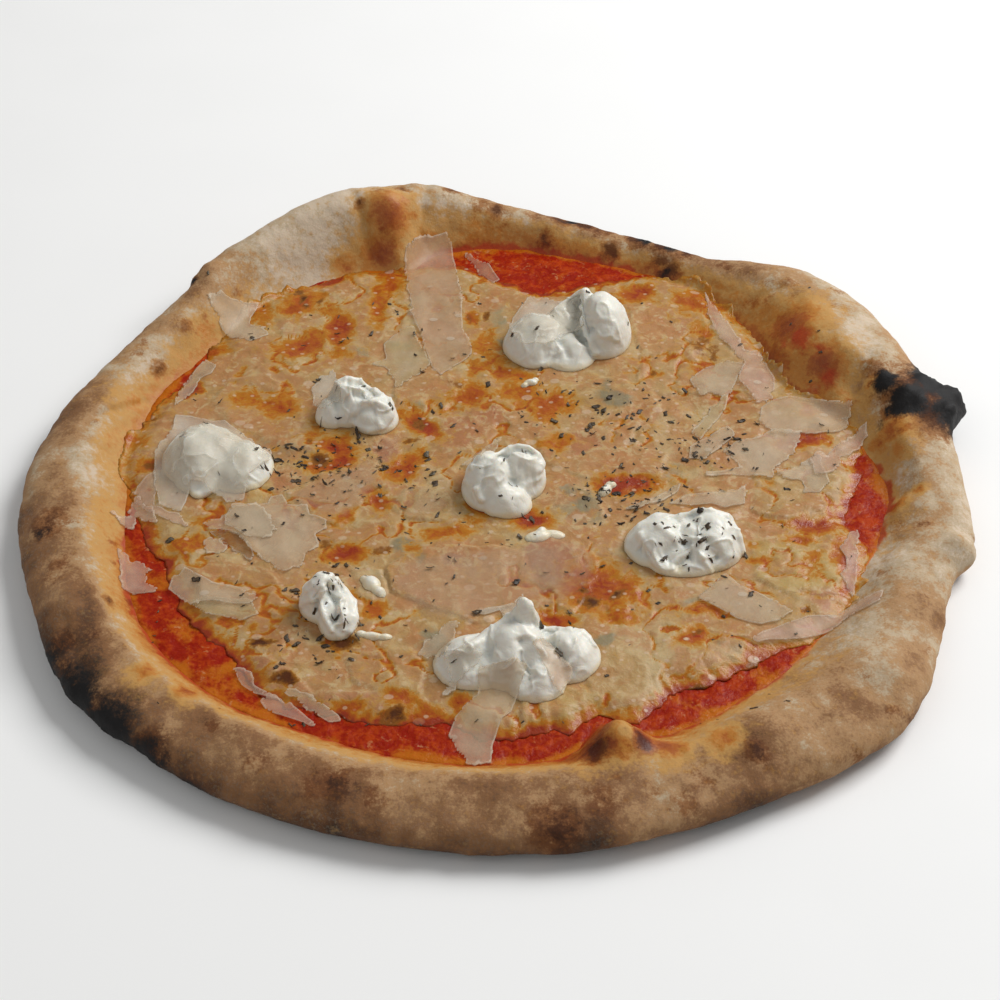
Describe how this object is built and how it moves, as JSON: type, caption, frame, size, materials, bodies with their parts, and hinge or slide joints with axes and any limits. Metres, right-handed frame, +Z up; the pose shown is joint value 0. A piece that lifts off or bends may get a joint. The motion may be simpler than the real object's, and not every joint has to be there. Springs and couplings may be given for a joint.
{
  "type": "four cheese pizza",
  "caption": "Whole round wood-fired pizza with a puffed, charred rim, tomato sauce, melted cheese, herb flakes, soft cheese spoonfuls and thin hard cheese shavings",
  "frame": {"origin": "Middle of the pizza's underside: the middle of the dough's box seen from above, at the height the base rests on", "axes": "+Z up out of the toppings; +Y away from the side the picture was taken from; +X to the right in that view. The charred knob on the rim points to about +X, the tall bubble to +Y"},
  "size_m": [0.3236, 0.3208, 0.0287],
  "materials": {
    "dough": "baked wheat dough, floury and matte, browned and charred in spots",
    "tomato_sauce": "wet cooked tomato sauce with an oily gloss",
    "melted_cheese": "melted cheese, oily, with dried herb flakes baked in",
    "soft_cheese": "soft fresh cheese, creamy and slightly wet",
    "hard_cheese": "thin shaved hard cheese, translucent and slightly oily"
  },
  "bodies": {
    "root": {"dough": "dough", "tomato_sauce": "tomato_sauce", "melted_cheese": "melted_cheese", "soft_cheese_1": "soft_cheese", "soft_cheese_2": "soft_cheese", "soft_cheese_3": "soft_cheese", "soft_cheese_4": "soft_cheese", "soft_cheese_5": "soft_cheese", "soft_cheese_6": "soft_cheese", "soft_cheese_7": "soft_cheese", "crumb_1": "soft_cheese", "crumb_2": "soft_cheese", "crumb_3": "soft_cheese", "crumb_4": "soft_cheese", "crumb_5": "soft_cheese", "shaving_01": "hard_cheese", "shaving_02": "hard_cheese", "shaving_03": "hard_cheese", "shaving_04": "hard_cheese", "shaving_05": "hard_cheese", "shaving_06": "hard_cheese", "shaving_07": "hard_cheese", "shaving_08": "hard_cheese", "shaving_09": "hard_cheese", "shaving_10": "hard_cheese", "shaving_11": "hard_cheese", "shaving_12": "hard_cheese", "shaving_13": "hard_cheese", "shaving_14": "hard_cheese", "shaving_15": "hard_cheese", "shaving_16": "hard_cheese", "shaving_17": "hard_cheese", "shaving_18": "hard_cheese", "shaving_19": "hard_cheese", "shaving_20": "hard_cheese", "shaving_21": "hard_cheese", "shaving_22": "hard_cheese", "shaving_23": "hard_cheese", "shaving_24": "hard_cheese", "shaving_25": "hard_cheese", "shaving_26": "hard_cheese", "shaving_27": "hard_cheese", "shaving_28": "hard_cheese", "shaving_29": "hard_cheese", "shaving_30": "hard_cheese", "shaving_31": "hard_cheese", "shaving_32": "hard_cheese", "shaving_33": "hard_cheese", "shaving_34": "hard_cheese", "shaving_35": "hard_cheese", "shaving_36": "hard_cheese", "shaving_37": "hard_cheese", "shaving_38": "hard_cheese", "shaving_39": "hard_cheese"}
  },
  "joints": []
}
